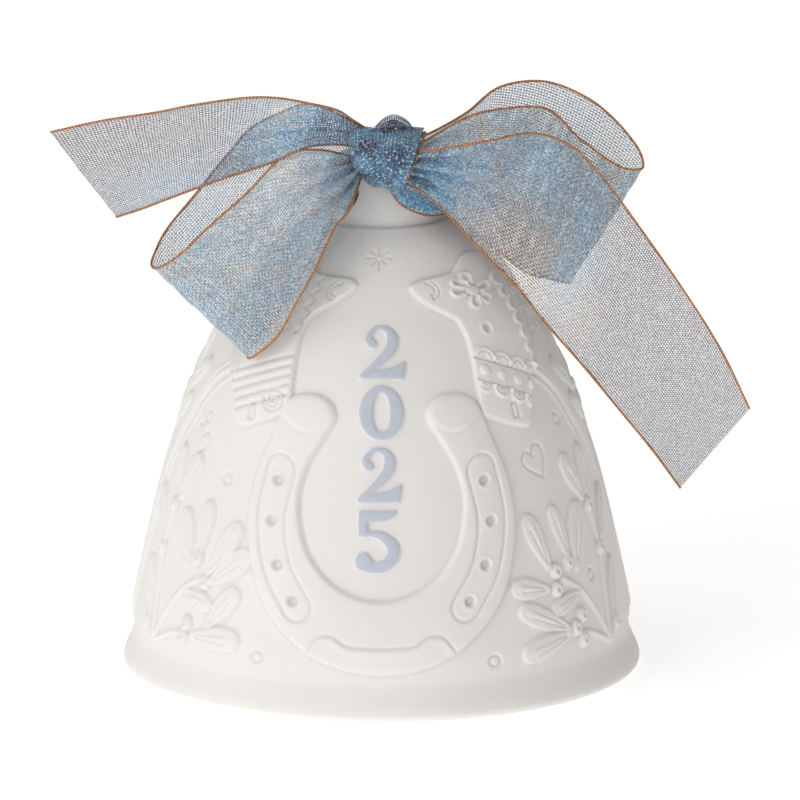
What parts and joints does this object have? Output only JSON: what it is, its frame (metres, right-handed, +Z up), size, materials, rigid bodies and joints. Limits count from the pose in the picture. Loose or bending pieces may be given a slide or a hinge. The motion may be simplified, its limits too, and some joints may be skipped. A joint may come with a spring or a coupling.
{
  "type": "christmas bell ornament",
  "caption": "Small standing porcelain Christmas bell with moulded relief, blue numerals, a swinging clapper inside and a sheer ribbon bow on its crown.",
  "frame": {"origin": "on the bell's axis, in the plane of the rim it stands on", "axes": "+Z up through the crown, -Y towards the numerals at the front, +X to the right seen from the front"},
  "size_m": [0.109, 0.08, 0.0931],
  "materials": {
    "porcelain": "unglazed, matte, very smooth",
    "blue_enamel": "thin pale blue enamel, nearly matte",
    "cement": "dull, slightly rough",
    "steel_wire": "drawn wire",
    "bead_metal": "satin",
    "ribbon": "sheer shot organza, blue and copper, with copper edge threads"
  },
  "bodies": {
    "bell": {"bell_shell": "porcelain", "numeral_1": "blue_enamel", "numeral_2": "blue_enamel", "numeral_3": "blue_enamel", "numeral_4": "blue_enamel", "clapper_eye": "steel_wire", "eye_cement": "cement", "bow_knot": "ribbon", "bow_left_loop": "ribbon", "bow_right_loop": "ribbon", "bow_left_tail": "ribbon", "bow_right_tail": "ribbon", "crown_strap": "ribbon"},
    "link": {"clapper_link": "steel_wire"},
    "clapper": {"clapper_wire": "steel_wire", "clapper_ball": "porcelain", "clapper_bead": "bead_metal"}
  },
  "joints": [
    {"name": "clapper_swing", "type": "hinge", "parent": "bell", "child": "link", "pos_m": [0, 0, 0.0614], "axis": [1, 0, 0], "range_deg": [-30, 30]},
    {"name": "clapper_sway", "type": "hinge", "parent": "link", "child": "clapper", "pos_m": [0, 0, 0.0574], "axis": [0, 1, 0], "range_deg": [-12, 12]}
  ]
}
